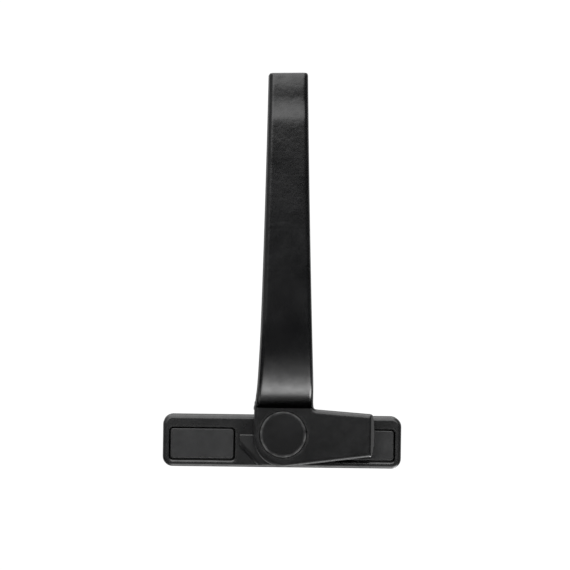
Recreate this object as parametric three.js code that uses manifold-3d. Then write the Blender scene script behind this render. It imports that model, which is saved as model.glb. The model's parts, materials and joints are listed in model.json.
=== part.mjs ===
// Cockspur handle for an outward-opening casement window, shown unlocked.
//
// The shapes are drawn in wall axes: X to the right, Y up the wall, Z out of the wall, in
// millimetres. The pivot axis is X = Y = 0 and the mounting face is Z = 0. The outer group turns
// these axes upright, so that in the finished model Z is up and the mounting face looks along +Y.

import * as THREE from 'three';
import { mergeVertices } from 'three/addons/utils/BufferGeometryUtils.js';
import Module from 'manifold-3d';

// Base plate
const PLATE = { halfLength: 49, bottom: -14.3, top: 7, thickness: 8.5, corner: 4.1, edge: 1.6 };
const PLATFORM = { left: -17.6, right: 9.7, top: -0.8, cutLow: -13.2, cutSide: -5.9, cutFoot: -10.4 };
const PLATFORM_FACE = 10.5;
const PLATFORM_EDGE = 0.8;
const PLATFORM_ROUND = { radius: 2.3, facets: [15, 40, 65] };
const PIVOT_PAD_RADIUS = 11.4;
const SCREW_HOLE = { x: 32.9, y: -4.75, radius: 2.25, headRadius: 4.6, sinkDepth: 2.4 };

// Pockets and their snap-in covers
const POCKET = { halfLength: 13.5, halfHeight: 6.65, corner: 1.6, floor: 4.3 };
const COVER_GAP = 0.45;
const COVER = { back: 6.8, front: 8.35, edge: 0.25, legBack: 4.6, legWidth: 1.5, legHalfHeight: 4 };

// Hub and spur, in one outline
const HUB = { back: 10.9, front: 20, arcX: 0.1, arcY: -1.2, radius: 12.05, shoulderX: -11.7, edge: 0.9 };
const SPUR = { back: 12.6, sweepRadius: 37.4, lowSlope: 0.1327, topY: 10, tipTopY: 8.4, tipFaceX: 35.5 };
const SPUR_TIP_CHAMFER = 1.5;
const LEVER_FILLET = { x: 12.1, y: 12.2, spurX: 14.4 };

// Lever: front and back profiles up the neck, then a long bar whose face steps back near its tip
const JUNCTION_Y = 10.7;
const NECK_TOP_Y = 46;
const LEVER_FRONT = 40.3;
const LEVER_BACK = 32.2;
const TIP = { y: 145.3, round: 1.6, slant: 0.024, crownY: 136, crown: 0.36 };
const FACE_STEPS = [
  { startY: 112, endY: 134, depth: 0.16 },
  { startY: 123.5, endY: 137.2, depth: 0.52 },
];
const LEVER_WIDTH = { root: 21.25, rootY: 35, tip: 15.95, sag: 0.4, flare: 1.2, flareLength: 1.5 };
const LEVER_LEAN = { root: 0.65, tip: -0.35 };
const LEFT_FLARE = { size: 0.6, length: 12 };
const LEVER_EDGE = 1.9;
const LEVER_DRAFT = 0.035;

// Pivot: shoulder screw, bush, washers and springs
const SHOULDER_RADIUS = 3;
const THREAD_RADIUS = 2.4;
const THREAD_BORE = { radius: 2.5, bottom: 3.6 };
const WASHER_SEAT = { radius: 6.5, top: 11.5 };
const WEB_TOP = 13.6;
const HUB_BORE_RADIUS = 4.2;
const SPRING_BORE_RADIUS = 7;
const CAP_BORE = { radius: 9.65, bottom: 17 };
const CAP = { gap: 0.25, proud: 0.15, chamfer: 0.4 };
const SCREW_HEAD = { radius: 5.6, back: 15.9, front: 18.2, socketDepth: 1.3, socketAcross: 4 };
const DISC_SPRING = { inner: 3.15, outer: 6.3, sheet: 0.35, cone: 0.3 };
const RUNNING_GAP = 0.1;

// Stop pin in the hub and the blind arc slot it runs in
const STOP = { orbit: 9, pinRadius: 1.25, clearance: 0.3, restAngle: -45, swing: 90 };
const STOP_SLOT_FLOOR = 7;
const STOP_PIN_TOP = 15.5;

// Nylon pad under the spur
const PAD = { back: 11.2, front: 12.5, inset: 0.7, root: 17, pegRadius: 1.3, pegTop: 15.8 };
const PAD_PEGS_X = [21.5, 31];

const CIRCLE_SEGMENTS = 48;
const BIG = 400;

const wasm = await Module();
wasm.setup();

// A closed three.js geometry as a solid that can be joined and cut.
function solid(geometry) {
  const bare = geometry.index ? geometry.toNonIndexed() : geometry.clone();
  bare.deleteAttribute('normal');
  bare.deleteAttribute('uv');
  const merged = mergeVertices(bare, 1e-4);
  const vertProperties = new Float32Array(merged.attributes.position.array);
  const triVerts = new Uint32Array(merged.index.array);
  return new wasm.Manifold(new wasm.Mesh({ numProp: 3, vertProperties, triVerts }));
}

function geometryOf(body) {
  const { numProp, vertProperties, triVerts } = body.getMesh();
  const geometry = new THREE.BufferGeometry();
  const points = new THREE.InterleavedBuffer(new Float32Array(vertProperties), numProp);
  geometry.setAttribute('position', new THREE.InterleavedBufferAttribute(points, 3, 0));
  geometry.setIndex([...triVerts]);
  const plain = geometry.toNonIndexed();
  plain.computeVertexNormals();
  return plain;
}

function piece(name, body, material) {
  const mesh = new THREE.Mesh(geometryOf(body), material);
  mesh.name = name;
  return mesh;
}

function box(x0, x1, y0, y1, z0, z1) {
  const geometry = new THREE.BoxGeometry(x1 - x0, y1 - y0, z1 - z0);
  return solid(geometry.translate((x0 + x1) / 2, (y0 + y1) / 2, (z0 + z1) / 2));
}

// An outline as a plate between two depths. A rounded edge is given to its front face only.
function plate(outline, back, front, edge = 0) {
  const geometry = new THREE.ExtrudeGeometry(outline, {
    depth: front - back,
    bevelEnabled: edge > 0,
    bevelThickness: edge,
    bevelSize: edge,
    bevelOffset: -edge,
    bevelSegments: 3,
    curveSegments: CIRCLE_SEGMENTS / 4,
  });
  const body = solid(geometry.translate(0, 0, back - edge));
  return edge > 0 ? body.subtract(box(-BIG, BIG, -BIG, BIG, -BIG, back)) : body;
}

function disc(radius, back, front, x = 0, y = 0) {
  const geometry = new THREE.CylinderGeometry(radius, radius, front - back, CIRCLE_SEGMENTS);
  return solid(geometry.rotateX(Math.PI / 2).translate(x, y, (back + front) / 2));
}

function cone(backRadius, frontRadius, back, front, x, y) {
  const geometry = new THREE.CylinderGeometry(frontRadius, backRadius, front - back, CIRCLE_SEGMENTS);
  return solid(geometry.rotateX(Math.PI / 2).translate(x, y, (back + front) / 2));
}

function washer(inner, outer, back, front) {
  return disc(outer, back, front).subtract(disc(inner, back - 1, front + 1));
}

// A profile of [radius, depth] points, from back to front, turned about the pivot axis.
function turned(profile) {
  const points = profile.map(([radius, depth]) => new THREE.Vector2(radius, depth));
  return solid(new THREE.LatheGeometry(points, CIRCLE_SEGMENTS).rotateX(Math.PI / 2));
}

function roundedRectangle(x0, x1, y0, y1, radius) {
  const shape = new THREE.Shape();
  shape.moveTo(x0 + radius, y0);
  shape.absarc(x1 - radius, y0 + radius, radius, -Math.PI / 2, 0);
  shape.absarc(x1 - radius, y1 - radius, radius, 0, Math.PI / 2);
  shape.absarc(x0 + radius, y1 - radius, radius, Math.PI / 2, Math.PI);
  shape.absarc(x0 + radius, y0 + radius, radius, Math.PI, 1.5 * Math.PI);
  return shape;
}

// --- Base plate ---------------------------------------------------------------------------

// The raised platform under the hub, with one corner cut off at 45 degrees.
function platformOutline() {
  const shape = new THREE.Shape();
  shape.moveTo(PLATFORM.left, PLATFORM.top);
  shape.lineTo(PLATFORM.left, PLATFORM.cutSide);
  shape.lineTo(PLATFORM.cutFoot, PLATFORM.cutLow);
  shape.lineTo(PLATFORM.right, PLATFORM.cutLow);
  shape.lineTo(PLATFORM.right, PLATFORM.top);
  shape.closePath();
  return shape;
}

// The platform, its cut corner rolled down to the plate by a few flats along a rounding.
function platform() {
  const { left, cutSide, cutFoot, cutLow } = PLATFORM;
  const { radius, facets } = PLATFORM_ROUND;
  const along = new THREE.Vector2(cutFoot - left, cutLow - cutSide).normalize();
  const outward = new THREE.Vector2(along.y, -along.x);
  const centre = outward.dot(new THREE.Vector2(left, cutSide)) - radius;
  const block = plate(platformOutline(), 1, PLATFORM_FACE, PLATFORM_EDGE);
  return facets.map(THREE.MathUtils.degToRad).reduce((body, angle) => {
    const normal = [-outward.x * Math.sin(angle), -outward.y * Math.sin(angle), -Math.cos(angle)];
    const reach = centre * Math.sin(angle) + (PLATFORM_FACE - radius) * Math.cos(angle) + radius;
    return body.trimByPlane(normal, -reach);
  }, block);
}

// A blind slot along an arc about the pivot, as wide as the stop pin and its clearance.
function stopSlot() {
  const halfWidth = STOP.pinRadius + STOP.clearance;
  const start = THREE.MathUtils.degToRad(STOP.restAngle);
  const end = start - THREE.MathUtils.degToRad(STOP.swing);
  const shape = new THREE.Shape();
  const ends = [start, end].map((angle) => [STOP.orbit * Math.cos(angle), STOP.orbit * Math.sin(angle)]);
  shape.absarc(0, 0, STOP.orbit + halfWidth, start, end, true);
  shape.absarc(...ends[1], halfWidth, end, end - Math.PI, true);
  shape.absarc(0, 0, STOP.orbit - halfWidth, end, start, false);
  shape.absarc(...ends[0], halfWidth, start - Math.PI, start - 2 * Math.PI, true);
  return plate(shape, STOP_SLOT_FLOOR, PLATFORM_FACE + 1);
}

function pocket(side) {
  const x = side * SCREW_HOLE.x;
  const y = SCREW_HOLE.y;
  const outline = roundedRectangle(
    x - POCKET.halfLength,
    x + POCKET.halfLength,
    y - POCKET.halfHeight,
    y + POCKET.halfHeight,
    POCKET.corner,
  );
  const sinkBottom = POCKET.floor - SCREW_HOLE.sinkDepth;
  return plate(outline, POCKET.floor, PLATE.thickness + 1)
    .add(disc(SCREW_HOLE.radius, -1, POCKET.floor + 1, x, y))
    .add(cone(SCREW_HOLE.radius, SCREW_HOLE.headRadius, sinkBottom, POCKET.floor + 0.01, x, y));
}

function basePlate() {
  const { halfLength, bottom, top, thickness, corner, edge } = PLATE;
  const outline = roundedRectangle(-halfLength, halfLength, bottom, top, corner);
  const body = plate(outline, 0, thickness, edge);
  const pad = disc(PIVOT_PAD_RADIUS, 1, PLATFORM_FACE);
  const inside = box(-halfLength, halfLength, bottom, top - edge, 0, BIG);
  return body
    .add(platform())
    .add(pad.intersect(inside))
    .subtract(stopSlot())
    .subtract(pocket(-1))
    .subtract(pocket(1))
    .subtract(disc(THREAD_BORE.radius, THREAD_BORE.bottom, PLATFORM_FACE + 1));
}

// A flat cover with two legs that grip the ends of its pocket.
function screwCover(side) {
  const x = side * SCREW_HOLE.x;
  const y = SCREW_HOLE.y;
  const halfLength = POCKET.halfLength - COVER_GAP;
  const halfHeight = POCKET.halfHeight - COVER_GAP;
  const outline = roundedRectangle(
    x - halfLength,
    x + halfLength,
    y - halfHeight,
    y + halfHeight,
    POCKET.corner - COVER_GAP,
  );
  const legY = [y - COVER.legHalfHeight, y + COVER.legHalfHeight];
  const legZ = [COVER.legBack, COVER.back + 0.5];
  return plate(outline, COVER.back, COVER.front, COVER.edge)
    .add(box(x - halfLength, x - halfLength + COVER.legWidth, ...legY, ...legZ))
    .add(box(x + halfLength - COVER.legWidth, x + halfLength, ...legY, ...legZ));
}

// --- Pivot --------------------------------------------------------------------------------

function pivotScrew() {
  const seat = PLATFORM_FACE + RUNNING_GAP;
  const tip = THREAD_BORE.bottom + 2 * RUNNING_GAP;
  const chamfer = 0.5;
  const body = turned([
    [0, tip],
    [THREAD_RADIUS - chamfer, tip],
    [THREAD_RADIUS, tip + chamfer],
    [THREAD_RADIUS, seat],
    [SHOULDER_RADIUS, seat],
    [SHOULDER_RADIUS, SCREW_HEAD.back],
    [SCREW_HEAD.radius, SCREW_HEAD.back],
    [SCREW_HEAD.radius, SCREW_HEAD.front - chamfer],
    [SCREW_HEAD.radius - chamfer, SCREW_HEAD.front],
    [0, SCREW_HEAD.front],
  ]);
  const corner = SCREW_HEAD.socketAcross / Math.sqrt(3);
  const hexagon = new THREE.CylinderGeometry(corner, corner, 2 * SCREW_HEAD.socketDepth, 6);
  return body.subtract(solid(hexagon.rotateX(Math.PI / 2).translate(0, 0, SCREW_HEAD.front)));
}

function frictionWasher() {
  const back = PLATFORM_FACE + RUNNING_GAP;
  return washer(DISC_SPRING.inner, WASHER_SEAT.radius - 0.2, back, WASHER_SEAT.top - RUNNING_GAP);
}

function pivotBush() {
  const inner = SHOULDER_RADIUS + RUNNING_GAP;
  const back = WASHER_SEAT.top + RUNNING_GAP;
  return washer(inner, HUB_BORE_RADIUS - RUNNING_GAP, back, WEB_TOP - RUNNING_GAP);
}

const SPRING_SEAT = { back: WEB_TOP + RUNNING_GAP, front: WEB_TOP + RUNNING_GAP + 0.6 };

function springSeatWasher() {
  return washer(DISC_SPRING.inner, DISC_SPRING.outer + 0.3, SPRING_SEAT.back, SPRING_SEAT.front);
}

// A conical spring washer. Facing +1 its inner rim is towards the screw head, facing -1 it is
// towards the base, so that a pair bears on each other at their outer rims.
function discSpring(back, facing) {
  const { inner, outer, sheet, cone: rise } = DISC_SPRING;
  const innerBack = facing > 0 ? back + rise : back;
  const outerBack = facing > 0 ? back : back + rise;
  return turned([
    [inner, innerBack],
    [outer, outerBack],
    [outer, outerBack + sheet],
    [inner, innerBack + sheet],
    [inner, innerBack],
  ]);
}

function stopPin() {
  const angle = THREE.MathUtils.degToRad(STOP.restAngle);
  const x = STOP.orbit * Math.cos(angle);
  const y = STOP.orbit * Math.sin(angle);
  const chamfer = 0.3;
  const foot = STOP_SLOT_FLOOR + 4 * RUNNING_GAP;
  const { pinRadius } = STOP;
  return cone(pinRadius - chamfer, pinRadius, foot, foot + chamfer, x, y)
    .add(disc(pinRadius, foot + chamfer, STOP_PIN_TOP - RUNNING_GAP, x, y));
}

function hubCap() {
  const radius = CAP_BORE.radius - CAP.gap;
  const skirt = 1.2;
  const underside = SCREW_HEAD.front + 0.3;
  const front = HUB.front + CAP.proud;
  return turned([
    [0, underside],
    [radius - skirt, underside],
    [radius - skirt, CAP_BORE.bottom + 2 * RUNNING_GAP],
    [radius, CAP_BORE.bottom + 2 * RUNNING_GAP],
    [radius, front - CAP.chamfer],
    [radius - CAP.chamfer, front],
    [0, front],
  ]);
}

// --- Handle -------------------------------------------------------------------------------

// Where the straight lower edge of the spur leaves the round underside of the hub.
function spurTangent() {
  const angle = Math.atan(SPUR.lowSlope);
  return {
    angle: angle - Math.PI / 2,
    x: HUB.arcX + HUB.radius * Math.sin(angle),
    y: HUB.arcY - HUB.radius * Math.cos(angle),
  };
}

// Front view of hub and spur: straight left side, round underside, spur narrowing to a tip that
// follows its own sweep about the pivot, and a fillet up into the lever.
function hubOutline() {
  const tangent = spurTangent();
  const lowAtTip = tangent.y + SPUR.lowSlope * (SPUR.tipFaceX - tangent.x);
  const tipLow = Math.asin(lowAtTip / SPUR.sweepRadius);
  const tipTop = Math.asin(SPUR.tipTopY / SPUR.sweepRadius);
  const shape = new THREE.Shape();
  shape.moveTo(HUB.shoulderX, LEVER_FILLET.y);
  shape.lineTo(HUB.arcX - HUB.radius, HUB.arcY);
  shape.absarc(HUB.arcX, HUB.arcY, HUB.radius, Math.PI, tangent.angle + 2 * Math.PI);
  shape.absarc(0, 0, SPUR.sweepRadius, tipLow, tipTop);
  shape.lineTo(LEVER_FILLET.spurX, SPUR.topY);
  shape.quadraticCurveTo(LEVER_FILLET.x, SPUR.topY, LEVER_FILLET.x, LEVER_FILLET.y);
  shape.closePath();
  return shape;
}

// The thicker hub behind the level of the spur's underside.
function hubBackOutline() {
  const shape = new THREE.Shape();
  shape.moveTo(HUB.shoulderX, LEVER_FILLET.y);
  shape.lineTo(HUB.arcX - HUB.radius, HUB.arcY);
  shape.absarc(HUB.arcX, HUB.arcY, HUB.radius, Math.PI, 2 * Math.PI);
  shape.lineTo(HUB.arcX + HUB.radius, LEVER_FILLET.y);
  shape.closePath();
  return shape;
}

// How much further the lever's left side stands out at height y, near the hub.
function leftFlare(y) {
  return LEFT_FLARE.size * Math.exp((JUNCTION_Y - y) / LEFT_FLARE.length);
}

function leverWidth(y) {
  const { root, rootY, tip, sag, flare, flareLength } = LEVER_WIDTH;
  const along = (y - rootY) / (TIP.y - rootY);
  const taper = root + (tip - root) * along - 4 * sag * along * (1 - along);
  return taper + flare * Math.exp((JUNCTION_Y - y) / flareLength);
}

// The lever's face at height y: flat, then a smooth step back, then a crown at the tip.
function faceDepth(y) {
  const steps = FACE_STEPS.map(
    ({ startY, endY, depth }) => depth * THREE.MathUtils.smootherstep(y, startY, endY),
  );
  const crown = Math.max(0, (y - TIP.crownY) / (TIP.y - TIP.crownY)) ** 2;
  return LEVER_FRONT - steps[0] - steps[1] - TIP.crown * crown;
}

// One cross-section of the lever: a rectangle with rounded corners between a point on the front
// profile and one on the back profile. Each profile point is [height, depth].
function leverSection(front, back, width, slant = 0) {
  const outward = new THREE.Vector2(front[0] - back[0], front[1] - back[1]);
  const halfThickness = outward.length() / 2;
  outward.normalize();
  const middle = [(front[0] + back[0]) / 2, (front[1] + back[1]) / 2];
  const radius = Math.min(LEVER_EDGE, halfThickness * 0.9);
  const centre = THREE.MathUtils.lerp(LEVER_LEAN.root, LEVER_LEAN.tip, middle[0] / TIP.y);
  const outline = roundedRectangle(-width / 2, width / 2, -halfThickness, halfThickness, radius);
  const points = outline.getPoints(4).slice(0, -1);
  return points.map(({ x, y: out }) => {
    const height = middle[0] + out * outward.x + slant * x;
    const flare = x < 0 ? leftFlare(height) : 0;
    const draft = Math.sign(x) * LEVER_DRAFT * (out + halfThickness);
    return new THREE.Vector3(centre + x - draft - flare, height, middle[1] + out * outward.y);
  });
}

// A skin over a row of sections that all have the same number of points, closed at both ends.
function loft(sections) {
  const count = sections[0].length;
  const index = [];
  for (let row = 0; row + 1 < sections.length; row += 1) {
    for (let i = 0; i < count; i += 1) {
      const a = row * count + i;
      const b = row * count + ((i + 1) % count);
      index.push(a, b + count, b, a, a + count, b + count);
    }
  }
  const last = (sections.length - 1) * count;
  for (let i = 1; i + 1 < count; i += 1) {
    index.push(0, i, i + 1, last, last + i + 1, last + i);
  }
  const geometry = new THREE.BufferGeometry().setFromPoints(sections.flat());
  geometry.setIndex(index);
  return geometry;
}

function neckCurve(...points) {
  return new THREE.CubicBezierCurve(...points.map(([y, z]) => new THREE.Vector2(y, z)));
}

function lever() {
  const frontCurve = neckCurve(
    [JUNCTION_Y, HUB.front],
    [14.5, 31.5],
    [24, LEVER_FRONT],
    [NECK_TOP_Y, LEVER_FRONT],
  );
  const backCurve = neckCurve([17.5, HUB.back], [18.2, 24], [28, LEVER_BACK], [NECK_TOP_Y, LEVER_BACK]);
  const sections = [leverSection([8, HUB.front - 1], [8, HUB.back], 2 * LEVER_FILLET.x - 3)];
  const neckSteps = 16;
  for (let i = 0; i <= neckSteps; i += 1) {
    const front = frontCurve.getPoint(i / neckSteps);
    const back = backCurve.getPoint(i / neckSteps);
    sections.push(leverSection(front.toArray(), back.toArray(), leverWidth(front.x)));
  }
  const barSteps = 24;
  const barTop = TIP.y - TIP.round;
  for (let i = 1; i <= barSteps; i += 1) {
    const y = NECK_TOP_Y + ((barTop - NECK_TOP_Y) * i) / barSteps;
    sections.push(barSection(y, 0));
  }
  const roundSteps = 3;
  for (let i = 1; i <= roundSteps; i += 1) {
    const angle = (i / roundSteps) * (Math.PI / 2);
    const inset = TIP.round * (1 - Math.cos(angle));
    sections.push(barSection(barTop + TIP.round * Math.sin(angle), inset));
  }
  return solid(loft(sections));
}

// A level cross-section of the bar, drawn in by the inset where the tip rounds over.
function barSection(y, inset) {
  const front = faceDepth(y) - inset;
  const back = LEVER_BACK + inset;
  const slant = TIP.slant * THREE.MathUtils.smoothstep(y, FACE_STEPS[0].startY, TIP.y);
  return leverSection([y, front], [y, back], leverWidth(y) - 2 * inset, slant);
}

// The wedge that takes the front corner off the spur's tip.
function tipChamfer() {
  const shape = new THREE.Shape();
  shape.moveTo(SPUR.tipFaceX, HUB.front + 0.01);
  shape.lineTo(SPUR.sweepRadius + 1, HUB.front - SPUR_TIP_CHAMFER * (1 + SPUR.sweepRadius - SPUR.tipFaceX));
  shape.lineTo(SPUR.sweepRadius + 1, HUB.front + 1);
  shape.lineTo(SPUR.tipFaceX, HUB.front + 1);
  shape.closePath();
  const geometry = new THREE.ExtrudeGeometry(shape, { depth: 40, bevelEnabled: false });
  return solid(geometry.translate(0, 0, -20).rotateX(Math.PI / 2));
}

function pegHoles() {
  return PAD_PEGS_X.map((x) => disc(PAD.pegRadius + RUNNING_GAP, SPUR.back - 1, PAD.pegTop, x, 0))
    .reduce((joined, hole) => joined.add(hole));
}

function pivotBores() {
  const stopAngle = THREE.MathUtils.degToRad(STOP.restAngle);
  const stopX = STOP.orbit * Math.cos(stopAngle);
  const stopY = STOP.orbit * Math.sin(stopAngle);
  return disc(WASHER_SEAT.radius, HUB.back - 1, WASHER_SEAT.top)
    .add(disc(HUB_BORE_RADIUS, HUB.back - 1, HUB.front + 1))
    .add(disc(SPRING_BORE_RADIUS, WEB_TOP, HUB.front + 1))
    .add(disc(CAP_BORE.radius, CAP_BORE.bottom, HUB.front + 1))
    .add(disc(STOP.pinRadius + RUNNING_GAP, HUB.back - 1, STOP_PIN_TOP, stopX, stopY));
}

function handle() {
  return plate(hubOutline(), SPUR.back, HUB.front, HUB.edge)
    .add(plate(hubBackOutline(), HUB.back, SPUR.back + 1))
    .add(lever())
    .subtract(tipChamfer())
    .subtract(pegHoles())
    .subtract(pivotBores());
}

// The pad follows the spur's outline, set in all round, and is held by two pegs.
function wearPad() {
  const tangent = spurTangent();
  const low = (x) => tangent.y + SPUR.lowSlope * (x - tangent.x) + PAD.inset;
  const end = SPUR.sweepRadius - 0.1;
  const top = SPUR.tipTopY - PAD.inset;
  const shape = new THREE.Shape();
  shape.moveTo(PAD.root, top);
  shape.lineTo(PAD.root, low(PAD.root));
  shape.absarc(0, 0, end, Math.asin(low(SPUR.tipFaceX) / end), Math.asin(top / end));
  shape.closePath();
  const pegs = PAD_PEGS_X.map((x) => disc(PAD.pegRadius, PAD.front - 0.5, PAD.pegTop - 0.3, x, 0));
  return pegs.reduce((body, peg) => body.add(peg), plate(shape, PAD.back, PAD.front));
}

// --- Assembly -----------------------------------------------------------------------------

const blackPaint = new THREE.MeshStandardMaterial({ color: 0x17181a, roughness: 0.38, metalness: 0.3 });
const darkPlastic = new THREE.MeshStandardMaterial({ color: 0x2b2c2e, roughness: 0.5, metalness: 0 });
const steel = new THREE.MeshStandardMaterial({ color: 0xa9acae, roughness: 0.35, metalness: 1 });
const brass = new THREE.MeshStandardMaterial({ color: 0xb08d4a, roughness: 0.4, metalness: 1 });
const nylon = new THREE.MeshStandardMaterial({ color: 0x3a3b3c, roughness: 0.55, metalness: 0 });

const innerSpringBack = SPRING_SEAT.front + RUNNING_GAP;
const springHeight = DISC_SPRING.sheet + DISC_SPRING.cone;
const outerSpringBack = innerSpringBack + springHeight + RUNNING_GAP;

const base = new THREE.Group();
base.add(
  piece('base_plate', basePlate(), blackPaint),
  piece('left_screw_cover', screwCover(-1), darkPlastic),
  piece('right_screw_cover', screwCover(1), darkPlastic),
  piece('pivot_screw', pivotScrew(), steel),
  piece('friction_washer', frictionWasher(), nylon),
);

const turningHandle = new THREE.Group();
turningHandle.add(
  piece('handle', handle(), blackPaint),
  piece('hub_cap', hubCap(), darkPlastic),
  piece('pivot_bush', pivotBush(), brass),
  piece('spring_seat_washer', springSeatWasher(), steel),
  piece('inner_disc_spring', discSpring(innerSpringBack, -1), steel),
  piece('outer_disc_spring', discSpring(outerSpringBack, 1), steel),
  piece('stop_pin', stopPin(), steel),
  piece('spur_wear_pad', wearPad(), nylon),
);

const part = new THREE.Group();
part.add(base, turningHandle);
part.rotation.x = Math.PI / 2;

export default part;
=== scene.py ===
"""A black cockspur window handle, shown unlocked on a plain pale studio floor.

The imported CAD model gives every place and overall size. The casting, the base plate, the covers,
the cap and the wear pad are rebuilt here with fine surfaces. The pivot's inner parts stay as they
are and get materials.

Shapes are drawn in wall axes, in millimetres: x to the right, y up the wall, z out of the wall.
"""

import json
import math

import bmesh
import bpy
import numpy as np
import openvdb
from mathutils import Matrix, Vector


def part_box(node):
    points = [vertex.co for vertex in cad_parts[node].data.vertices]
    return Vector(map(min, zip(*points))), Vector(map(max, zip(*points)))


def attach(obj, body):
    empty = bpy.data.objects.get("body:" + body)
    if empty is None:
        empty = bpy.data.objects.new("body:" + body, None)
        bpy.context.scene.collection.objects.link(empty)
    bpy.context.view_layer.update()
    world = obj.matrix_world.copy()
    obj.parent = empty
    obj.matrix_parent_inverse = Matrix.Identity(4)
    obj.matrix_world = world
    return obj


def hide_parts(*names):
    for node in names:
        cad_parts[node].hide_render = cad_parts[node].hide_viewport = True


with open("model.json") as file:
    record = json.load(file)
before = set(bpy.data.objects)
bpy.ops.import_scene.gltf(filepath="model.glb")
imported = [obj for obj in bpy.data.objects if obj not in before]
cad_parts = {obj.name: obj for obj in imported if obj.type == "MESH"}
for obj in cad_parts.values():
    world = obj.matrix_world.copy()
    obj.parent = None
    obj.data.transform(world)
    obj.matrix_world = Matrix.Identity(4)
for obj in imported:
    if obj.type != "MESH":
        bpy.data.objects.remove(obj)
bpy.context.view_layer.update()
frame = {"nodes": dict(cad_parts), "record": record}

MM = 1000.0


# --- Sizes --------------------------------------------------------------------------------


def wall_box(node):
    """A CAD node's lowest and highest corner in wall axes, in millimetres."""
    low, high = (np.array(corner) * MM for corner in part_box(node))
    return np.array([low[0], low[2], -high[1]]), np.array([high[0], high[2], -low[1]])


PLATE_LOW, PLATE_HIGH = wall_box("base_plate")
HANDLE_LOW, HANDLE_HIGH = wall_box("handle")
CAP_LOW, CAP_HIGH = wall_box("hub_cap")
PAD_LOW, PAD_HIGH = wall_box("spur_wear_pad")
PIN_LOW, PIN_HIGH = wall_box("stop_pin")
PIN_CENTRE = (PIN_LOW[:2] + PIN_HIGH[:2]) / 2
PIN_RADIUS = (PIN_HIGH[0] - PIN_LOW[0]) / 2
SCREW_HEAD_FRONT = wall_box("pivot_screw")[1][2]
SPRING_SEAT_BACK = wall_box("spring_seat_washer")[0][2]
FRICTION_FRONT = wall_box("friction_washer")[1][2]
COVERS = {side: wall_box(f"{side}_screw_cover") for side in ("left", "right")}

# How far a tool runs past the face that it cuts, or a joined shape into its neighbour, and how far
# a chamfer's rim clears the face
PAST = 1.0
CLEAR = 0.002

# Base plate. The platform's cut corner runs from its left side, at "side", to its foot, at "foot".
PLATFORM_FACE = PLATE_HIGH[2]
PLATE_FACE = PLATFORM_FACE - 2.0
PLATE_CORNER = 4.1
PLATE_EDGE = 1.6
PLATFORM = {"left": -17.6, "right": 9.7, "top": -0.8, "low": -13.2, "side": -5.9, "foot": -10.4}
PLATFORM_EDGE = 0.35
PLATFORM_ROUND = 2.3
PIVOT_PAD = {"radius": 11.4, "corner": 0.5}
POCKET_FLOOR = 4.3
POCKET_CORNER = 1.6
SCREW_HOLE = {"radius": 2.25, "sink_radius": 4.6, "sink": 2.4}
THREAD_BORE = {"radius": 2.5, "bottom": 3.6}
STOP_SLOT = {"beside": 0.3, "below": 0.4, "turn": 90}

# A pocket's mouth widens by its full size at the bottom and by these parts of it elsewhere. The
# whole pocket's bottom lies lower than its cover's by the drop.
POCKET_MOUTH = {"size": 0.7, "side": 0.35, "top": 0.1, "drop": 0.35}

# Screw covers
COVER_GAP = 0.45
COVER_SHRINK = 0.12
COVER_EDGE = 0.3
COVER_BACK_EDGE = 0.1
COVER_FACE = 1.55
COVER_LEG = {"thickness": 1.5, "half_height": 4, "corner": 0.3}

# Wear pad, under the spur
PAD_INSET = 0.7
PAD_GAP = 0.1
PAD_EDGE = {"depth": 0.25, "scale": 0.985}
PEG_RADIUS = 1.3
PEG_LENGTH = 2.9
PEG_PLACES = (21.5, 31.0)

# Hub and spur
HUB_CENTRE = np.array([0.1, -1.2])
HUB_RADIUS = 12.05
HUB_SHOULDER = -11.7
HUB_BACK = HANDLE_LOW[2]
HUB_FRONT = 20.0
HUB_TOP = 13.2
HUB_EDGE = 1.2
BOSS_EDGE = 0.4
BORE_RADIUS = {"washer": 6.5, "bush": 4.2, "springs": 7.0}
BORE_GAP = 0.1
CAP_RECESS_GAP = 0.2
CAP_RECESS_MOUTH = 0.12
CAP = {"edge": 0.3, "crown": 0.1, "skirt": 1.2, "over_screw": 0.3, "rings": 8}
SPUR_BACK = PAD_HIGH[2] - PEG_LENGTH
SPUR_SWEEP = HANDLE_HIGH[0]
SPUR_LOW_SLOPE = 0.1327
SPUR_TOP = 10.0
SPUR_TIP_TOP = 8.4
SPUR_TIP_FACE = 35.5
SPUR_TIP_CHAMFER = 1.5
LEVER_FILLET = {"x": 12.1, "y": 12.2, "spur_x": 14.4, "pull": 0.6}

# Neck and lever. A pull is a (height, depth) that draws the neck's curve towards it. The root is
# where the neck's outline runs down inside the hub.
JUNCTION = 10.7
NECK_TOP = 46.0
LEVER_FRONT = HANDLE_HIGH[2]
LEVER_BACK = 32.2
NECK_FRONT_PULLS = [(14.5, 31.5), (24, LEVER_FRONT)]
NECK_BACK_ROOT = 17.5
NECK_BACK_PULLS = [(18.2, 24), (28, LEVER_BACK)]
NECK_ROOT = [(8.0, HUB_BACK), (JUNCTION - 1, HUB_FRONT - 3)]
LEVER_START = 7.0
LEVER_TIP = 145.3
LEVER_EDGE = 1.9
TIP_EDGE = 0.9
TIP_SLANT = 0.024
TIP_CROWN = {"from": 136.0, "fall": 0.36}
LEVER_DRAFT = 0.035
LEVER_LEAN = {"root": 0.65, "tip": -0.35}
LEVER_WIDTH = {"root": 21.25, "root_y": 35.0, "tip": 15.95, "sag": 0.4, "flare": 1.2, "fade": 1.5}
LEFT_FLARE = {"width": 0.6, "fade": 12.0}

# Steps back in the lever's face, as (from height, to height, depth)
FACE_STEPS = [(112.0, 134.0, 0.16), (123.5, 137.2, 0.52)]

FIELD_STEP = 0.35


# --- Mesh helpers -------------------------------------------------------------------------

# The least radius of a corner and at an axis, and the least squared length of an outline's side
LEAST_CORNER = 1e-3
AXIS_RADIUS = 1e-4
LEAST_SIDE = 1e-12

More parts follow.
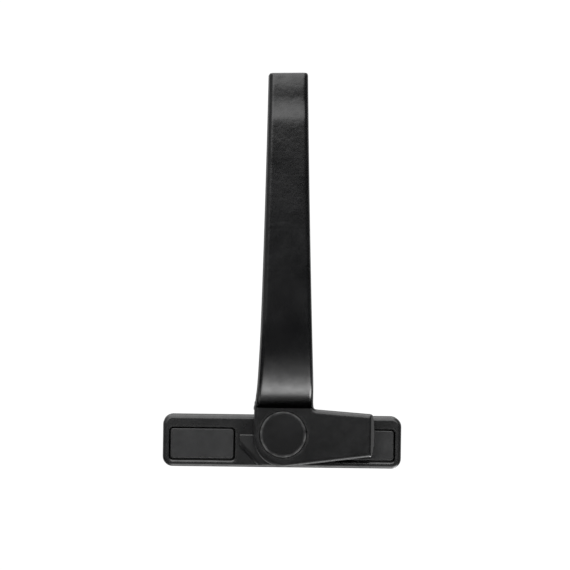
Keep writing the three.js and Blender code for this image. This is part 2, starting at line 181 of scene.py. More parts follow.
# Steps by which a distance field reaches past its shape
FIELD_MARGIN = 4


def to_frame(points):
    """Wall axes in millimetres to the row frame in metres."""
    points = np.asarray(points, float)
    return np.stack([points[:, 0], -points[:, 2], points[:, 1]], axis=1) / MM


def arc(centre, radius, start, end, steps):
    """Points along an arc, by angles in degrees."""
    angles = np.radians(np.linspace(start, end, steps + 1))
    return [(centre[0] + radius * math.cos(a), centre[1] + radius * math.sin(a)) for a in angles]


def bezier(points, steps):
    """Points along a cubic curve."""
    p = np.array(points, float)
    t = np.linspace(0, 1, steps + 1)[:, None]
    curve = (1 - t) ** 3 * p[0] + 3 * (1 - t) ** 2 * t * p[1] + 3 * (1 - t) * t**2 * p[2] + t**3 * p[3]
    return [tuple(q) for q in curve]


def rounded_rectangle(low, high, radius, steps=10):
    """Outline of a rectangle with round corners, anticlockwise."""
    radius = max(radius, LEAST_CORNER)
    corners = [
        ((high[0] - radius, low[1] + radius), -90),
        ((high[0] - radius, high[1] - radius), 0),
        ((low[0] + radius, high[1] - radius), 90),
        ((low[0] + radius, low[1] + radius), 180),
    ]
    return [p for centre, start in corners for p in arc(centre, radius, start, start + 90, steps)]


def stacked(rings):
    """A closed bmesh through a row of outlines, each (points, depth), back to front."""
    bm = bmesh.new()
    loops = []
    for outline, depth in rings:
        places = to_frame([(x, y, depth) for x, y in outline])
        loops.append([bm.verts.new(place) for place in places])
    count = len(loops[0])
    for below, above in zip(loops, loops[1:], strict=False):
        for i in range(count):
            j = (i + 1) % count
            bm.faces.new((below[i], below[j], above[j], above[i]))
    bm.faces.new(list(reversed(loops[0])))
    bm.faces.new(loops[-1])
    bmesh.ops.recalc_face_normals(bm, faces=bm.faces)
    return bm


def turned(profile, centre=(0.0, 0.0), segments=128):
    """A closed bmesh of a profile of (radius, depth) points turned about an axis out of the wall."""
    rings = []
    for radius, depth in profile:
        circle = arc(centre, max(radius, AXIS_RADIUS), 0, 360, segments)[:-1]
        rings.append((circle, depth))
    return stacked(rings)


def edge_steps(radius, steps=6):
    """(inset, rise) pairs round a quarter circle, from the side wall to the face."""
    angles = np.linspace(0, math.pi / 2, steps + 1)
    return [(radius * (1 - math.cos(a)), radius * math.sin(a)) for a in angles]


def make_object(name, bm):
    """A mesh object of a bmesh, which is used up."""
    mesh = bpy.data.meshes.new(name)
    bm.to_mesh(mesh)
    bm.free()
    obj = bpy.data.objects.new(name, mesh)
    bpy.context.scene.collection.objects.link(obj)
    return obj


def cut_or_join(obj, other_bm, operation):
    """Joins or cuts obj with another solid, and applies the result."""
    join_objects(obj, make_object("tool", other_bm), operation)


def join_objects(obj, other, operation):
    """Joins or cuts obj with another object, which is used up."""
    modifier = obj.modifiers.new("boolean", "BOOLEAN")
    modifier.operation = operation
    modifier.object = other
    modifier.solver = "MANIFOLD"
    apply_modifiers(obj)
    bpy.data.objects.remove(other)


def apply_modifiers(obj):
    """The object's modifiers made part of its mesh."""
    graph = bpy.context.evaluated_depsgraph_get()
    mesh = bpy.data.meshes.new_from_object(obj.evaluated_get(graph))
    obj.modifiers.clear()
    old = obj.data
    obj.data = mesh
    bpy.data.meshes.remove(old)


def smooth_faces(obj, sharp_degrees=32):
    """Smooth shading that keeps real edges crisp and flat faces flat."""
    mesh = obj.data
    mesh.shade_smooth()
    mesh.set_sharp_from_angle(angle=math.radians(sharp_degrees))
    modifier = obj.modifiers.new("weighted_normals", "WEIGHTED_NORMAL")
    modifier.keep_sharp = True
    apply_modifiers(obj)


# --- Signed distances, for the cast handle --------------------------------------------------


def outline_distance(u, v, outline):
    """Signed distance from points (u, v) to a closed outline, negative inside."""
    points = np.asarray(outline, float)
    following = np.roll(points, -1, axis=0)
    nearest = np.full(u.shape, np.inf)
    inside = np.zeros(u.shape, bool)
    for (ax, ay), (bx, by) in zip(points, following, strict=True):
        ex, ey = bx - ax, by - ay
        length2 = ex * ex + ey * ey
        if length2 < LEAST_SIDE:
            continue
        along = np.clip(((u - ax) * ex + (v - ay) * ey) / length2, 0, 1)
        nearest = np.minimum(nearest, (u - ax - along * ex) ** 2 + (v - ay - along * ey) ** 2)
        crosses = (ay > v) != (by > v)
        if ey:
            inside ^= crosses & (u < ax + (v - ay) * ex / ey)
    distance = np.sqrt(nearest)
    return np.where(inside, -distance, distance)


def rounded_meeting(a, b, radius):
    """Intersection of two distance fields with its edge rounded."""
    a, b = a + radius, b + radius
    outside = np.hypot(np.maximum(a, 0), np.maximum(b, 0))
    return np.minimum(np.maximum(a, b), 0) + outside - radius


def smooth_rise(value, start, end):
    """A smooth step from 0 to 1, flat at both ends."""
    t = np.clip((value - start) / (end - start), 0, 1)
    return t**3 * (t * (6 * t - 15) + 10)


def spur_tangent():
    """Where the spur's straight lower edge leaves the round underside of the hub."""
    angle = math.atan(SPUR_LOW_SLOPE)
    x = HUB_CENTRE[0] + HUB_RADIUS * math.sin(angle)
    y = HUB_CENTRE[1] - HUB_RADIUS * math.cos(angle)
    return math.degrees(angle), x, y


def spur_low(x):
    """Height of the spur's lower edge."""
    _, tangent_x, tangent_y = spur_tangent()
    return tangent_y + SPUR_LOW_SLOPE * (x - tangent_x)


def hub_outline():
    """Front outline of hub and spur."""
    tilt, _, _ = spur_tangent()
    low = math.degrees(math.asin(spur_low(SPUR_TIP_FACE) / SPUR_SWEEP))
    high = math.degrees(math.asin(SPUR_TIP_TOP / SPUR_SWEEP))
    fillet = LEVER_FILLET
    corner = [
        (fillet["spur_x"], SPUR_TOP),
        (fillet["x"] + fillet["pull"], SPUR_TOP),
        (fillet["x"], SPUR_TOP + fillet["pull"]),
        (fillet["x"], fillet["y"]),
    ]
    return (
        [(fillet["x"], HUB_TOP), (HUB_SHOULDER, HUB_TOP), (HUB_SHOULDER, fillet["y"])]
        + arc(HUB_CENTRE, HUB_RADIUS, 180, 270 + tilt, 40)
        + arc((0, 0), SPUR_SWEEP, low, high, 16)
        + bezier(corner, 8)
    )


def hub_back_outline():
    """Outline of the thicker part of the hub, behind the spur."""
    top = LEVER_FILLET["y"]
    left = (HUB_SHOULDER, top)
    right = (HUB_CENTRE[0] + HUB_RADIUS, top)
    return [left] + arc(HUB_CENTRE, HUB_RADIUS, 180, 360, 48) + [right]


def face_depth(y):
    """Depth of the lever's face at a height: flat, two steps back, and a crown at the tip."""
    steps = sum(depth * smooth_rise(y, start, end) for start, end, depth in FACE_STEPS)
    crown_y = TIP_CROWN["from"]
    crown = np.clip((y - crown_y) / (LEVER_TIP - crown_y), 0, None) ** 2
    return LEVER_FRONT - steps - TIP_CROWN["fall"] * crown


def lever_profile():
    """Side outline of the lever as (height, depth), running on past its tip."""
    front = bezier([(JUNCTION, HUB_FRONT), *NECK_FRONT_PULLS, (NECK_TOP, LEVER_FRONT)], 48)
    face = [(y, float(face_depth(y))) for y in np.linspace(NECK_TOP, LEVER_TIP, 90)[1:]]
    back = bezier([(NECK_BACK_ROOT, HUB_BACK), *NECK_BACK_PULLS, (NECK_TOP, LEVER_BACK)], 32)
    run_on = LEVER_TIP + 9 * PAST
    beyond = [(run_on, face[-1][1]), (run_on, LEVER_BACK)]
    return front + face + beyond + back[::-1] + NECK_ROOT


def lever_half_width(y):
    """Half the lever's width at a height: a slightly hollow taper, flared at its foot."""
    size = LEVER_WIDTH
    along = (y - size["root_y"]) / (LEVER_TIP - size["root_y"])
    taper = size["root"] + (size["tip"] - size["root"]) * along - 4 * size["sag"] * along * (1 - along)
    flare = size["flare"] * np.exp(np.minimum(JUNCTION - y, 0) / size["fade"])
    return (taper + flare) / 2


def grid_axes(low, high, step):
    """Grid lines around a box, a few steps wider than it."""
    first = np.asarray(low, float) - FIELD_MARGIN * step
    counts = np.ceil((np.asarray(high, float) + FIELD_MARGIN * step - first) / step).astype(int)
    return [first[i] + step * np.arange(counts[i]) for i in range(3)]


def hub_field(x, y, z):
    """Distance field of hub and spur."""
    face_x, face_y = np.meshgrid(x, y, indexing="ij")
    depth = z[None, None, :]
    outline = outline_distance(face_x, face_y, hub_outline())[:, :, None]
    plate = rounded_meeting(outline, depth - HUB_FRONT, HUB_EDGE)
    plate = np.maximum(plate, SPUR_BACK - depth)
    outline = outline_distance(face_x, face_y, hub_back_outline())[:, :, None]
    boss_depth = np.maximum(depth - SPUR_BACK - 2 * PAST, HUB_BACK - depth)
    boss = rounded_meeting(outline, boss_depth, BOSS_EDGE)
    chamfer = (face_x - SPUR_TIP_FACE)[:, :, None] * SPUR_TIP_CHAMFER + depth - HUB_FRONT
    return np.maximum(np.minimum(plate, boss), chamfer / math.hypot(SPUR_TIP_CHAMFER, 1))


def lever_field(x, y, z):
    """Distance field of the neck and lever."""
    face_x, face_y = np.meshgrid(x, y, indexing="ij")
    side_y, side_z = np.meshgrid(y, z, indexing="ij")
    lean = LEVER_LEAN["root"] + (LEVER_LEAN["tip"] - LEVER_LEAN["root"]) * face_y / LEVER_TIP
    flare = LEFT_FLARE["width"] * np.exp((JUNCTION - face_y) / LEFT_FLARE["fade"])
    across = np.maximum(face_x - lean, lean - flare - face_x) - lever_half_width(face_y)
    draft = LEVER_DRAFT * np.clip(side_z - LEVER_BACK, 0, None)
    profile = outline_distance(side_y, side_z, lever_profile())[None, :, :]
    bar = rounded_meeting(across[:, :, None] + draft[None, :, :], profile, LEVER_EDGE)
    end = face_y - LEVER_TIP - TIP_SLANT * face_x
    return rounded_meeting(bar, end[:, :, None], TIP_EDGE)


def softened(field):
    """The field averaged with its neighbours, which rounds edges and corners as paint does."""
    for axis in range(3):
        before, after = np.roll(field, 1, axis), np.roll(field, -1, axis)
        field = (before + 2 * field + after) / 4
    return field


def field_object(name, field_of, low, high, step):
    """The surface of a distance field, sampled around a box, as a mesh object."""
    axes = grid_axes(low, high, step)
    field = softened(field_of(*axes).astype(np.float32))
    grid = openvdb.FloatGrid()
    grid.background = float(field.max())
    grid.copyFromArray(field)
    points, triangles, quads = grid.convertToPolygons(isovalue=0.0, adaptivity=0.0)
    places = to_frame(points * step + [axis[0] for axis in axes])
    faces = [tuple(f) for f in triangles] + [tuple(f) for f in quads]
    mesh = bpy.data.meshes.new(name)
    mesh.from_pydata(places.tolist(), [], faces)
    bm = bmesh.new()
    bm.from_mesh(mesh)
    bpy.data.meshes.remove(mesh)
    bmesh.ops.recalc_face_normals(bm, faces=bm.faces)
    return make_object(name, bm)


# --- Pieces -------------------------------------------------------------------------------


def pivot_bores():
    """The stepped bore through the hub, from the washer seat to the cap's recess."""
    washer_seat = FRICTION_FRONT + BORE_GAP
    spring_floor = SPRING_SEAT_BACK - BORE_GAP
    cap_floor = CAP_LOW[2] - CAP_RECESS_GAP
    recess = CAP_HIGH[0] + CAP_RECESS_GAP
    mouth = CAP_RECESS_MOUTH
    return turned(
        [
            (BORE_RADIUS["washer"], HUB_BACK - PAST),
            (BORE_RADIUS["washer"], washer_seat),
            (BORE_RADIUS["bush"], washer_seat),
            (BORE_RADIUS["bush"], spring_floor),
            (BORE_RADIUS["springs"], spring_floor),
            (BORE_RADIUS["springs"], cap_floor),
            (recess, cap_floor),
            (recess, HUB_FRONT - mouth),
            (recess + mouth, HUB_FRONT + CLEAR),
            (recess + mouth, HUB_FRONT + 2 * PAST),
        ]
    )


def handle_casting():
    """Hub, spur and lever as one casting, with the pivot's bores and the stop pin's hole."""
    step = FIELD_STEP
    hub_low = (HANDLE_LOW[0], HANDLE_LOW[1], HUB_BACK)
    hub_high = (HANDLE_HIGH[0], LEVER_FILLET["y"], HUB_FRONT)
    obj = field_object("handle_casting", hub_field, hub_low, hub_high, step)
    lever_low = (HANDLE_LOW[0], LEVER_START, HUB_BACK)
    lever = field_object("lever", lever_field, lever_low, HANDLE_HIGH, step)
    join_objects(obj, lever, "UNION")
    cut_or_join(obj, pivot_bores(), "DIFFERENCE")
    radius = PIN_RADIUS + BORE_GAP
    pin_hole = turned([(radius, HUB_BACK - PAST), (radius, PIN_HIGH[2] + BORE_GAP)], PIN_CENTRE, 32)
    cut_or_join(obj, pin_hole, "DIFFERENCE")
    smooth_faces(obj)
    return obj


def edged_plate(low, high, corner, back, front, edge, back_edge=0.2):
    """A rounded rectangle with a rounded front edge and a small broken back edge."""

    def ring(inset, depth):
        outline = rounded_rectangle(np.array(low) + inset, np.array(high) - inset, corner - inset)
        return outline, depth

    rings = [ring(back_edge, back), ring(0, back + back_edge)]
    rings += [ring(inset, front - edge + rise) for inset, rise in edge_steps(edge)]
    return stacked(rings)


def inset_polygon(points, insets):
    """A convex anticlockwise polygon with each side moved in by its own inset."""
    points = np.asarray(points, float)
    result = []
    for i, here in enumerate(points):
        first = here - points[i - 1]
        second = points[(i + 1) % len(points)] - here
        normals = np.array([[-first[1], first[0]], [-second[1], second[0]]])
        normals /= np.linalg.norm(normals, axis=1, keepdims=True)
        moved = normals @ here + [insets[i - 1], insets[i]]
        result.append(tuple(np.linalg.solve(normals, moved)))
    return result


def platform():
    """The raised platform: a small rounding round its face, a large one down its cut corner."""
    p = PLATFORM
    corners = [
        (p["left"], p["side"]),
        (p["foot"], p["low"]),
        (p["right"], p["low"]),
        (p["right"], p["top"]),
        (p["left"], p["top"]),
    ]
    edge = PLATFORM_EDGE
    rings = [(corners, PAST)]
    for roll, rise in edge_steps(PLATFORM_ROUND, 14):
        height = rise - PLATFORM_ROUND
        inset = edge - math.sqrt(edge**2 - max(height + edge, 0) ** 2)
        outline = inset_polygon(corners, [roll, inset, inset, inset, inset])
        rings.append((outline, PLATFORM_FACE + height))
    return stacked(rings)


def stop_slot():
    """The blind quarter-turn slot that the stop pin runs in."""
    orbit = float(np.hypot(*PIN_CENTRE))
    half = PIN_RADIUS + STOP_SLOT["beside"]
    start = math.degrees(math.atan2(PIN_CENTRE[1], PIN_CENTRE[0]))
    end = start - STOP_SLOT["turn"]
    far = (orbit * math.cos(math.radians(end)), orbit * math.sin(math.radians(end)))
    outline = (
        arc((0, 0), orbit + half, end, start, 32)
        + arc(PIN_CENTRE, half, start, start + 180, 12)[1:]
        + arc((0, 0), orbit - half, start, end, 32)[1:]
        + arc(far, half, end + 180, end + 360, 12)[1:-1]
    )
    return stacked([(outline, PIN_LOW[2] - STOP_SLOT["below"]), (outline, PLATFORM_FACE + PAST)])


def pocket(low, high):
    """The recess that a cover snaps into. Its eased mouth opens most at the bottom."""
    low, high = low[:2] - COVER_GAP, high[:2] + COVER_GAP

    def ring(outset, depth):
        wide, top = POCKET_MOUTH["side"] * outset, POCKET_MOUTH["top"] * outset
        bottom = outset + POCKET_MOUTH["drop"]
        corners = low - [wide, bottom], high + [wide, top]
        return rounded_rectangle(*corners, POCKET_CORNER + wide), depth

    mouth = POCKET_MOUTH["size"]
    rings = [ring(0, POCKET_FLOOR), ring(0, PLATE_FACE - mouth / 2)]
    rings += [ring(mouth, PLATE_FACE), ring(mouth, PLATE_FACE + PAST)]
    return stacked(rings)


def screw_hole(centre):
    """A countersunk hole through a pocket's floor."""
    radius, sink_radius = SCREW_HOLE["radius"], SCREW_HOLE["sink_radius"]
    profile = [
        (radius, -PAST),
        (radius, POCKET_FLOOR - SCREW_HOLE["sink"]),
        (sink_radius, POCKET_FLOOR + CLEAR),
        (sink_radius, POCKET_FLOOR + PAST / 2),
    ]
    return turned(profile, centre, 48)


def pivot_pad():
    """The round pad under the hub, trimmed to the plate's sides, as an object."""
    radius = PIVOT_PAD["radius"]
    pad = make_object("pivot_pad", turned([(radius, PAST), (radius, PLATFORM_FACE)]))
    top = PLATE_HIGH[1] - PLATE_EDGE
    sides = rounded_rectangle(PLATE_LOW[:2], (PLATE_HIGH[0], top), PIVOT_PAD["corner"])
    cut_or_join(pad, stacked([(sides, PAST / 2), (sides, PLATFORM_FACE + PAST)]), "INTERSECT")
    return pad


def base_plate():
    """The base casting, with its platform, pad, stop slot, pockets and holes."""
    obj = make_object(
        "base_casting",
        edged_plate(PLATE_LOW[:2], PLATE_HIGH[:2], PLATE_CORNER, 0, PLATE_FACE, PLATE_EDGE),
    )
    cut_or_join(obj, platform(), "UNION")
    join_objects(obj, pivot_pad(), "UNION")
    cut_or_join(obj, stop_slot(), "DIFFERENCE")
    radius = THREAD_BORE["radius"]
    thread_bore = turned([(radius, THREAD_BORE["bottom"]), (radius, PLATFORM_FACE + PAST)], segments=48)
    cut_or_join(obj, thread_bore, "DIFFERENCE")
    for low, high in COVERS.values():
        cut_or_join(obj, pocket(low, high), "DIFFERENCE")
        cut_or_join(obj, screw_hole((low[:2] + high[:2]) / 2), "DIFFERENCE")
    smooth_faces(obj)
    return obj


def screw_cover(side):
    """A flat cover with two legs behind it."""
    low, high = COVERS[side]
    shrink = np.array([COVER_SHRINK, COVER_SHRINK, 0])
    low, high = low + shrink, high - shrink
    face_back = high[2] - COVER_FACE
    corner = POCKET_CORNER - COVER_GAP
    obj = make_object(
        f"{side}_cover_moulding",
        edged_plate(low[:2], high[:2], corner, face_back, high[2], COVER_EDGE, COVER_BACK_EDGE),
    )
    middle = (low[1] + high[1]) / 2
    thickness, half = COVER_LEG["thickness"], COVER_LEG["half_height"]
    for x in (low[0], high[0] - thickness):
        leg = rounded_rectangle((x, middle - half), (x + thickness, middle + half), COVER_LEG["corner"], 4)
        cut_or_join(obj, stacked([(leg, low[2]), (leg, face_back + PAST / 2)]), "UNION")
    smooth_faces(obj)
    return obj


def hub_cap():
    """The flush round cap: a very slightly crowned face, a broken edge and a skirt."""
    radius, front = CAP_HIGH[0], CAP_HIGH[2]
    edge, crown = CAP["edge"], CAP["crown"]
    inward = [1 - i / CAP["rings"] for i in range(CAP["rings"] + 1)]
    face = [(radius * part - edge * part, front - crown * part**2) for part in inward]
    rim = [(radius - inset, front - crown - edge + rise) for inset, rise in edge_steps(edge, 4)]
    inner = radius - CAP["skirt"]
    under = SCREW_HEAD_FRONT + CAP["over_screw"]
    profile = [(0, under), (inner, under), (inner, CAP_LOW[2]), (radius, CAP_LOW[2])] + rim + face[1:]
    obj = make_object("cap_moulding", turned(profile))
    smooth_faces(obj)
    return obj


def wear_pad():
    """The nylon pad under the spur, with eased edges and two pegs."""
    inset = PAD_INSET
    end = SPUR_SWEEP - PAD_GAP
    low = math.degrees(math.asin((spur_low(SPUR_TIP_FACE) + inset) / end))
    high = math.degrees(math.asin((SPUR_TIP_TOP - inset) / end))
    outline = [(PAD_LOW[0], SPUR_TIP_TOP - inset), (PAD_LOW[0], spur_low(PAD_LOW[0]) + inset)]
    outline += arc((0, 0), end, low, high, 16)
    back, front = PAD_LOW[2], SPUR_BACK - PAD_GAP
    centre = np.mean(outline, axis=0)
    eased = [tuple(centre + (np.array(p) - centre) * PAD_EDGE["scale"]) for p in outline]
    rings = [(eased, back), (outline, back + PAD_EDGE["depth"]), (outline, front)]
    obj = make_object("pad_moulding", stacked(rings))
    for x in PEG_PLACES:
        peg = turned([(PEG_RADIUS, front - PAST / 2), (PEG_RADIUS, PAD_HIGH[2])], (x, 0), 32)
        cut_or_join(obj, peg, "UNION")
    smooth_faces(obj)
    return obj


# --- Materials ----------------------------------------------------------------------------

# How far, in millimetres, the masks look: of the edges, and of the painted shade in corners and under the
# neck
WEAR_REACH = 1.4
CORNER_REACH = 2.5
NECK_REACH = 30
OPENNESS_SAMPLES = 8

# Scales of noise, to the millimetre
PATCHES = 0.09
CAST_WAVES = 0.12
SHEEN_CLOUDS = 0.3
WEAR_BREAKS = 0.35

# Heights of the casting's waves and of turning marks, in millimetres
CAST_HEIGHT = 0.09
TURNING_HEIGHT = 0.02

# The parts of noise, and of a two-tone mix, over which they run from one end to the other
NOISE_RANGE = (0.3, 0.7)
TONE_RANGE = (0.35, 0.65)

# Where the masks start and end: an edge's openness from inside, and for the painted shade a face's
# upward part and the openness of the neck's underside and of a corner
EDGE_RANGE = (0.7, 0.98)
UNDERSIDE_RANGE = (-0.78, -0.7)
CLOSED_RANGE = (0.93, 1.0)
CORNER_RANGE = (0.2, 0.65)

SHEEN = (0.44, 0.56)
POLISH = 0.55
# The near black of the painted shade in corners and under the neck
PAINTED_SHADE_TONE = (0.0005, 0.0005, 0.0005)
PAINT_IOR = 1.5


def new_material(name):
    """A new node material, as (material, tree, shader)."""
    material = bpy.data.materials.new(name)
    material.use_nodes = True
    tree = material.node_tree
    return material, tree, tree.nodes["Principled BSDF"]


def object_coordinates(tree, scale):
    """The object's own coordinates, so many to the metre."""
    coordinates = tree.nodes.new("ShaderNodeTexCoord")
    mapping = tree.nodes.new("ShaderNodeMapping")
    mapping.inputs["Scale"].default_value = (scale, scale, scale)
    tree.links.new(coordinates.outputs["Object"], mapping.inputs["Vector"])
    return mapping.outputs["Vector"]


def noise(tree, vector, scale, detail=3.0, roughness=0.5):
    """Noise from 0 to 1."""
    node = tree.nodes.new("ShaderNodeTexNoise")
    node.inputs["Scale"].default_value = scale
    node.inputs["Detail"].default_value = detail
    node.inputs["Roughness"].default_value = roughness
    tree.links.new(vector, node.inputs["Vector"])
    return node.outputs["Fac"]


def spread(tree, value, low, high):
    """Noise mapped to a range, from its middle values."""
    node = tree.nodes.new("ShaderNodeMapRange")
    node.inputs["From Min"].default_value, node.inputs["From Max"].default_value = NOISE_RANGE
    node.inputs["To Min"].default_value = low
    node.inputs["To Max"].default_value = high
    tree.links.new(value, node.inputs["Value"])
    return node.outputs["Result"]


def two_tone(tree, value, dark, light):
    """Two colours, blended by a 0 to 1 value."""
    ramp = tree.nodes.new("ShaderNodeValToRGB")
    for element, position, tone in zip(ramp.color_ramp.elements, TONE_RANGE, (dark, light), strict=True):
        element.position = position
        element.color = (*tone, 1)
    tree.links.new(value, ramp.inputs["Fac"])
    return ramp.outputs["Color"]


def bump(tree, height, distance, strength, before=None):
    """A normal bumped by a height, in metres, on top of another bump if there is one."""
    node = tree.nodes.new("ShaderNodeBump")
    node.inputs["Distance"].default_value = distance
    node.inputs["Strength"].default_value = strength
    tree.links.new(height, node.inputs["Height"])
    if before is not None:
        tree.links.new(before, node.inputs["Normal"])
    return node.outputs["Normal"]


def blended(tree, factor, tone, other):
    """A tone mixed with another colour by a factor."""
    node = tree.nodes.new("ShaderNodeMix")
    node.data_type = "RGBA"
    sockets = {socket.identifier: socket for socket in node.inputs}
    sockets["B_Color"].default_value = (*other, 1.0)
    tree.links.new(factor, sockets["Factor_Float"])
    tree.links.new(tone, sockets["A_Color"])
    return next(socket for socket in node.outputs if socket.identifier == "Result_Color")


def stepped(tree, value, low, high, start=0.0, end=1.0):
    """A smooth step of a value from start to end, as it goes from low to high."""
    node = tree.nodes.new("ShaderNodeMapRange")
    node.interpolation_type = "SMOOTHSTEP"
    node.inputs["From Min"].default_value = low
    node.inputs["From Max"].default_value = high
    node.inputs["To Min"].default_value = start
    node.inputs["To Max"].default_value = end
    tree.links.new(value, node.inputs["Value"])
    return node.outputs["Result"]


def maths(tree, operation, first, second):
    """A Math node on two values, each a socket or a float."""
    node = tree.nodes.new("ShaderNodeMath")
    node.operation = operation
    for value, socket in zip((first, second), node.inputs, strict=False):
        if isinstance(value, float):
            socket.default_value = value
        else:
            tree.links.new(value, socket)
    return node.outputs["Value"]


def components(tree, vector):
    """A vector's X, Y and Z."""
    node = tree.nodes.new("ShaderNodeSeparateXYZ")
    tree.links.new(vector, node.inputs["Vector"])
    return node.outputs


def openness(tree, reach):
    """How open a point is to its surroundings, from 0 in a tight corner to 1."""
    node = tree.nodes.new("ShaderNodeAmbientOcclusion")
    node.samples = OPENNESS_SAMPLES
    node.inputs["Distance"].default_value = reach / MM
    return node.outputs["AO"]


def edge_wear_and_highlight_mask(tree, vector):
    """1 on the outer edges of a casting, in broken stretches, and 0 elsewhere: rubbed paint, and on the
    cap a painted highlight.
    """
    node = tree.nodes.new("ShaderNodeAmbientOcclusion")
    node.samples = OPENNESS_SAMPLES
    node.inside = True
    node.only_local = True
    node.inputs["Distance"].default_value = WEAR_REACH / MM
    edge = stepped(tree, node.outputs["AO"], *EDGE_RANGE, 1.0, 0.0)
    broken = spread(tree, noise(tree, vector, WEAR_BREAKS, 5.0), 0.1, 1.0)
    return maths(tree, "MULTIPLY", edge, broken)


def painted_crevice_shade(tree):
    """1 in the open, down to 0 in tight corners and under the neck: the mask of painted shade."""
    coordinates = tree.nodes.new("ShaderNodeTexCoord")
    upward = components(tree, coordinates.outputs["Normal"])["Z"]
    underside = stepped(tree, upward, *UNDERSIDE_RANGE, 1.0, 0.0)
    closed = stepped(tree, openness(tree, NECK_REACH), *CLOSED_RANGE, 1.0, 0.0)
    root = maths(tree, "SUBTRACT", 1.0, maths(tree, "MULTIPLY", underside, closed))
    corner = stepped(tree, openness(tree, CORNER_REACH), *CORNER_RANGE)
    return maths(tree, "MULTIPLY", root, corner)


def textured_black(name, dark, light, gloss, grain, wave, worn=None, wear=0.03):
    """Painted or moulded black: faint mottling, a fine grain and a slow orange-peel wave.

    gloss is the range of roughness. grain and wave are bumps, each with the scale of its noise, to
    the millimetre, and its height in millimetres. worn is (height, height, factor): the roughness
    changes by that factor between two heights. wear is the tone of the rubbed edges; the cap's much
    lighter tone is a painted highlight round its rim. Tight corners and the neck's underside get
    painted shade, in colour and in reflection.
    """
    material, tree, shader = new_material(name)
    vector = object_coordinates(tree, MM)
    fine = noise(tree, vector, grain["scale"], 4.0, 0.6)
    slow = noise(tree, vector, wave["scale"], 2.0)
    patches = noise(tree, vector, PATCHES, 3.0)
    paint = two_tone(tree, patches, dark, light)
    edges = edge_wear_and_highlight_mask(tree, vector)
    rubbed = blended(tree, edges, paint, (wear, wear, wear))
    # Painted shade: in tight corners and under the neck the colour goes to near black and the reflection
    # dims.
    painted_shade_factor = painted_crevice_shade(tree)
    painted_shade_amount = maths(tree, "SUBTRACT", 1.0, painted_shade_factor)
    tree.links.new(blended(tree, painted_shade_amount, rubbed, PAINTED_SHADE_TONE), shader.inputs["Base Color"])
    # The reflection's strength varies at random, and is dimmed by the painted shade.
    clouds = spread(tree, noise(tree, vector, SHEEN_CLOUDS, 5.0), *SHEEN)
    sheen_dimmed_by_painted_shade = maths(tree, "MULTIPLY", clouds, painted_shade_factor)
    roughness = spread(tree, patches, *gloss)
    if worn:
        low, high, factor = worn
        handled = stepped(tree, components(tree, vector)["Z"], low, high, 1.0, factor)
        roughness = maths(tree, "MULTIPLY", roughness, handled)
    polish = maths(tree, "MULTIPLY", edges, POLISH)
    polished = maths(tree, "MULTIPLY", roughness, maths(tree, "SUBTRACT", 1.0, polish))
    tree.links.new(polished, shader.inputs["Roughness"])
    cast = bump(tree, noise(tree, vector, CAST_WAVES, 1.0), CAST_HEIGHT / MM, 1.0)
    peel = bump(tree, slow, wave["height"] / MM, 1.0, cast)
    tree.links.new(bump(tree, fine, grain["height"] / MM, 1.0, peel), shader.inputs["Normal"])
    shader.inputs["IOR"].default_value = PAINT_IOR
    tree.links.new(sheen_dimmed_by_painted_shade, shader.inputs["Specular IOR Level"])
    return material


def plated(name, dark, light, gloss, grain):
    """Bright metal with fine turning marks and faint blotches."""
    material, tree, shader = new_material(name)
    vector = object_coordinates(tree, MM)
    blotches = noise(tree, vector, 0.5, 4.0)
    tree.links.new(two_tone(tree, blotches, dark, light), shader.inputs["Base Color"])
    tree.links.new(spread(tree, blotches, *gloss), shader.inputs["Roughness"])
    shader.inputs["Metallic"].default_value = 1.0
    marks = noise(tree, vector, grain, 3.0)
    tree.links.new(bump(tree, marks, TURNING_HEIGHT / MM, 0.6), shader.inputs["Normal"])
    return material


black_paint = textured_black(
    "black_paint",
    (0.004, 0.0041, 0.0044),
    (0.006, 0.0061, 0.0065),
    (0.27, 0.32),
    {"scale": 4.0, "height": 0.005},
    {"scale": 0.55, "height": 0.028},
    (8.0, 24.0, 0.63),
)
plate_paint = textured_black(
    "plate_paint",
    (0.006, 0.0061, 0.0064),
    (0.0085, 0.0086, 0.009),
    (0.27, 0.33),
    {"scale": 3.0, "height": 0.01},
    {"scale": 0.8, "height": 0.02},
)
# A lighter, rougher copy of the plate's paint for the platform's face; its lighter colour is painted light
# on the same painted casting.
platform_lit_paint = textured_black(
    "platform_lit_paint",
    (0.008, 0.0081, 0.0084),
    (0.011, 0.0111, 0.0115),
    (0.34, 0.4),
    {"scale": 3.0, "height": 0.01},
    {"scale": 0.8, "height": 0.012},
)
cap_plastic = textured_black(
    "cap_plastic",
    (0.006, 0.0061, 0.0064),
    (0.008, 0.0081, 0.0085),
    (0.25, 0.27),
    {"scale": 5.0, "height": 0.006},
    {"scale": 1.2, "height": 0.012},
    # A much lighter edge tone: a painted highlight round the cap's rim.
    wear=0.1,
)
dark_plastic = textured_black(
    "dark_plastic",
    (0.011, 0.0112, 0.0118),
    (0.015, 0.0152, 0.0158),
    (0.38, 0.45),
    {"scale": 5.0, "height": 0.012},
    {"scale": 1.2, "height": 0.006},
)
dark_nylon = textured_black(
    "dark_nylon",
    (0.02, 0.02, 0.0205),
    (0.028, 0.028, 0.0285),
    (0.45, 0.56),
    {"scale": 3.0, "height": 0.01},
    {"scale": 0.8, "height": 0.01},
)
zinc_steel = plated("zinc_steel", (0.5, 0.51, 0.53), (0.62, 0.63, 0.64), (0.28, 0.4), 3.0)
bush_brass = plated("bush_brass", (0.6, 0.43, 0.19), (0.7, 0.52, 0.25), (0.25, 0.38), 3.0)

SLOT_MATERIALS = {
    "black_paint": black_paint,
    "dark_plastic": dark_plastic,
    "nylon": dark_nylon,
    "zinc_steel": zinc_steel,
    "bush_brass": bush_brass,
}


